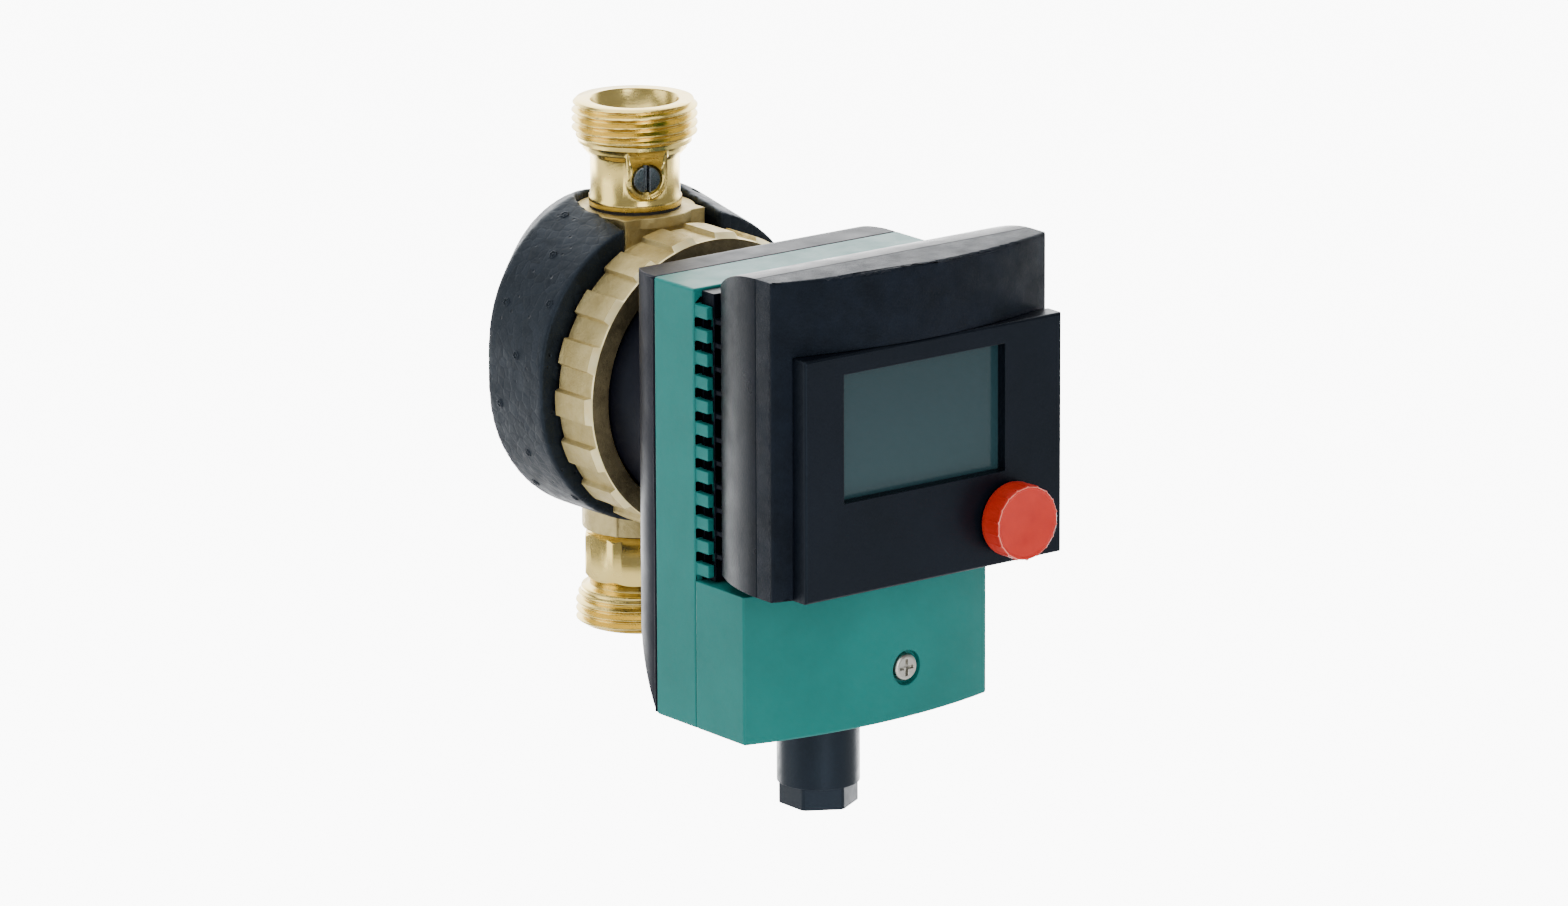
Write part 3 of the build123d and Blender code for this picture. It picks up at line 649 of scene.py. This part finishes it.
# ---------------------------------------------------------------- union ring
def union_ring():
    """Castellated ring with cast pads, chamfers with a painted highlight, a front land in painted
    shade and an uneven sand-cast skin.
    """
    low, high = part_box("union_ring")
    back, front, radius = high.y, low.y, (high.x - low.x) / 2
    pads, first_pad, pad_height = 18, math.radians(8.0), 1.3 * MM
    half_pad, flank = math.radians(5.1), math.radians(0.42)
    bore, lip, lip_back = radius - 4.15 * MM, radius - 6.9 * MM, front + 2.5 * MM
    edge = radius - 1.55 * MM                   # where the front chamfers end
    pad_chamfer, gap_chamfer = 1.2 * MM, 0.4 * MM
    back_chamfer, lip_chamfer = (0.7 * MM, 0.6 * MM), 0.4 * MM
    shares = [-1.0, -0.5, 0.0, 0.5, 1.0]
    turns = []
    for pad in range(pads):
        middle = first_pad + pad * 2 * math.pi / pads
        turns += [middle - half_pad + flank * share for share in shares]
        turns += [middle + half_pad * 0.9 * (share / 4) for share in range(-3, 4)]
        turns += [middle + half_pad + flank * share for share in shares]
        gap = math.pi / pads
        turns += [middle + gap + (gap * 0.86) * (share / 8) for share in range(-3, 4)]
    turns = sorted(turns)

    def raised(turn):
        """Share of the pad's height at an angle."""
        nearest = round((turn - first_pad) * pads / (2 * math.pi)) * 2 * math.pi / pads
        away = abs(turn - first_pad - nearest)
        return 1 - step_up(away, half_pad - flank, half_pad + flank)

    def surface(turn, y):
        """Outside radius: a pad or a recess, with the casting's unevenness."""
        place = about_motor(radius, turn, y) / (2.6 * MM)
        uneven = 0.09 * MM * (0.5 + 0.5 * noise.noise(place)) + 0.05 * MM * (
            0.5 + 0.5 * noise.noise(place * 2.7))
        return radius - pad_height * (1 - raised(turn)) - uneven

    work = bmesh.new()
    loops = [[about_motor(bore, turn, back) for turn in turns],
             [about_motor(surface(turn, back) - back_chamfer[0], turn, back) for turn in turns]]
    start = back - back_chamfer[1]
    rows = 12
    for row in range(rows + 1):
        loop = []
        for turn in turns:
            stop = front + pad_chamfer * raised(turn) + gap_chamfer
            y = start + (stop - start) * row / rows
            loop.append(about_motor(surface(turn, y), turn, y))
        loops.append(loop)
    loops.append([about_motor(edge, turn, front) for turn in turns])
    inner = [(lip + lip_chamfer, front), (lip, front + lip_chamfer), (lip, lip_back),
             (bore, lip_back)]
    for radius_here, y in inner:
        loops.append([about_motor(radius_here, turn, y) for turn in turns])
    add_loops(work, loops)
    piece = add_piece("union_ring_cast", finished(work, "union_ring_cast"), "union_ring", 28)
    chamfer = rows + 2
    # the front chamfer row gets a painted highlight and the front land row gets painted shade
    paint_rows(piece, {chamfer: "chamfer_highlight", chamfer + 1: "land_painted_shade"}, len(turns))


# ---------------------------------------------------------------- moulded insulation
FOAM_VOXEL = 0.75 * MM
FOAM_BEAD = 2.7 * MM
# Each vent mark's angle from the top and its depth along the motor axis in millimetres.
VENT_MARKS = ([(27 + 35 * index, 2.0) for index in range(4)]
              + [(42 + 36 * index, -5.5) for index in range(3)] + [(58, -13.6), (134, -13.6)])


def vent_mark(work, place, normal):
    """Steam-vent mark: a small flower-shaped boss, half sunk in the foam."""
    across = normal.orthogonal().normalized()
    along = normal.cross(across)
    petals, around = 6, 30

    def loop(radius, height, wave=0.0):
        points = []
        for index in range(around):
            angle = 2 * math.pi * index / around
            r = radius * (1 + wave * math.cos(petals * angle))
            points.append(place + (across * math.cos(angle) + along * math.sin(angle)) * r
                          + normal * height)
        return points

    # radius and height in millimetres, and how far the petals stand out
    profile = [(1.20, -0.5, 0.0), (1.20, 0.05, 0.10), (1.08, 0.20, 0.10), (0.86, 0.20, 0.12),
               (0.72, -0.08, 0.10), (0.42, -0.08, 0.0), (0.34, 0.12, 0.0), (0.16, 0.16, 0.0)]
    add_loops(work, [loop(radius * MM, height * MM, wave) for radius, height, wave in profile],
              capped=True)


def insulation(node, side, seed):
    """Foam shell: the CAD block with soft mould edges, pressed beads and vent marks."""
    mesh = finished(welded(node), node + "_rough")
    rough = bpy.data.objects.new(node + "_rough", mesh)
    bpy.context.scene.collection.objects.link(rough)
    remesh = rough.modifiers.new("remesh", "REMESH")
    remesh.mode, remesh.voxel_size = "VOXEL", FOAM_VOXEL
    even = bpy.data.meshes.new_from_object(
        rough.evaluated_get(bpy.context.evaluated_depsgraph_get()))
    bpy.data.objects.remove(rough)
    work = bmesh.new()
    work.from_mesh(even)
    for _ in range(3):
        bmesh.ops.smooth_vert(work, verts=work.verts, factor=0.5,
                              use_axis_x=True, use_axis_y=True, use_axis_z=True)
    work.normal_update()
    shift = Vector((seed, 0.0, 0.0))
    for vertex in work.verts:
        place = vertex.co / FOAM_BEAD + shift
        near = noise.voronoi(place)[0]
        joint = 1 - step_up(near[1] - near[0], 0.0, 0.22)
        wave = 0.5 + 0.5 * noise.noise(vertex.co / (9 * MM) + shift)
        vertex.co -= vertex.normal * (0.05 * joint + 0.08 * wave) * MM
    work.normal_update()
    tree = BVHTree.FromBMesh(work)
    for degrees, depth in VENT_MARKS:
        turn = side * math.radians(degrees)
        outside = about_motor(70 * MM, turn, depth * MM)
        inwards = (about_motor(0, 0, depth * MM) - outside).normalized()
        place, normal, _, _ = tree.ray_cast(outside, inwards)
        if place:
            vent_mark(work, place, normal)
    add_piece(node + "_foam", finished(work, node + "_foam"), node, 60)


# ---------------------------------------------------------------- valve spring
def valve_spring():
    """The valve spring: a welded copy of the CAD coil, left on no moving body."""
    mesh = finished(welded("check_valve_spring"), "check_valve_spring_coil")
    piece = add_piece("check_valve_spring_coil", mesh, "check_valve_spring", 60, rides=False)
    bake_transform(piece)


# ---------------------------------------------------------------- knob
def knob():
    """Push-and-turn knob: fine ribs, a rolled rim and a shallow dish."""
    low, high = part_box("knob")
    x, z = (low.x + high.x) / 2, (low.z + high.z) / 2
    back, front = high.y, low.y
    radius, ribs, columns = 9.66 * MM, 18, 18 * 16
    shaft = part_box("knob_shaft")
    bore = (shaft[1].x - shaft[0].x) / 2
    blind = shaft[0].y - 0.1 * MM
    turns = [2 * math.pi * column / columns for column in range(columns)]

    def rib(turn):
        """Height of the ribs at an angle."""
        away = (turn * ribs / (2 * math.pi) + 0.5) % 1 - 0.5
        return 0.3 * MM * math.exp(-(away / 0.09) ** 2)

    def loop(at_radius, y, share=0.0):
        return [about_motor(at_radius + share * rib(turn), turn, y, (x, z)) for turn in turns]

    # radius, place along the axis, and share of the ribs' height
    profile = [(bore, blind, 0), (bore, back, 0), (radius - 0.5 * MM, back, 0),
               (radius - 0.12 * MM, back - 0.15 * MM, 0.1), (radius, back - 0.6 * MM, 0.15)]
    side_rows = 6
    for row in range(1, side_rows + 1):
        share = row / side_rows
        y = back - 0.6 * MM + (front + 0.9 * MM - back + 0.6 * MM) * share
        profile.append((radius - 0.12 * MM * share, y, 0.15 + 0.85 * share ** 2))
    rim = [(-0.14, 0.42, 1.0), (-0.22, 0.16, 1.0), (-0.42, 0.02, 0.6), (-0.62, 0.0, 0.2),
           (-0.78, 0.07, 0.0), (-0.95, 0.24, 0.0)]
    profile += [(radius + inset * MM, front + depth * MM, share) for inset, depth, share in rim]
    dish = 6
    for row in range(1, dish):
        share = 1 - row / dish
        profile.append(((radius - 0.95 * MM) * share,
                        front + (0.24 + 0.36 * (1 - share ** 2)) * MM, 0))
    work = bmesh.new()
    add_loops(work, [loop(*row) for row in profile], capped=True)
    piece = add_piece("knob_ribbed", finished(work, "knob_ribbed"), "knob", 40)
    outer_rim, caps = 5 + side_rows + 1, 2
    # the outermost rim row gets a paler red as a painted highlight
    paint_rows(piece, {outer_rim: "knob_highlight"}, columns, first=caps)


# ---------------------------------------------------------------- softened CAD edges
FLAT_ANGLE = 0.4      # degrees: faces nearer to one plane than this are joined first
EDGE_ANGLE = 32       # degrees: sharper edges than this are rounded


def soften_edges(node, width):
    """Round a CAD node's sharp edges a little, so that they catch the light as real ones do."""
    piece = frame["nodes"][node]
    weld = piece.modifiers.new("weld", "WELD")
    weld.merge_threshold = 0.001 * MM
    flat = piece.modifiers.new("flat", "DECIMATE")
    flat.decimate_type, flat.angle_limit = "DISSOLVE", math.radians(FLAT_ANGLE)
    bevel = piece.modifiers.new("bevel", "BEVEL")
    bevel.width, bevel.segments = width * MM, 2
    bevel.limit_method, bevel.angle_limit = "ANGLE", math.radians(EDGE_ANGLE)
    bevel.use_clamp_overlap = False
    normals = piece.modifiers.new("normals", "WEIGHTED_NORMAL")
    normals.mode, normals.weight, normals.keep_sharp = "FACE_AREA_WITH_ANGLE", 80, False


# ---------------------------------------------------------------- the whole model
camera()
studio()
fitting("ball_valve_body", PORT_TOP - 10.7 * MM, 1, PORT_TOP, 9.8 * MM, PORT_TOP - 8.0 * MM)
fitting("check_valve_body", PORT_LOW + 9.3 * MM, -1, PORT_LOW, 9.6 * MM, PORT_LOW + 7.8 * MM)
union_ring()
insulation("insulation_left", -1, 3.0)
insulation("insulation_right", 1, 11.0)
valve_spring()
knob()
rounded = {           # widths in millimetres
    0.15: ("gland_nut", "gland_body", "cover_screw", "case_screws"),
    0.22: ("front_cover", "middle_shell", "rear_casing", "hood_shell", "hood_bezel", "front_panel"),
    0.3: ("valve_spindle",),
    0.35: ("pump_housing",),
}
for width, nodes in rounded.items():
    for node in nodes:
        soften_edges(node, width)
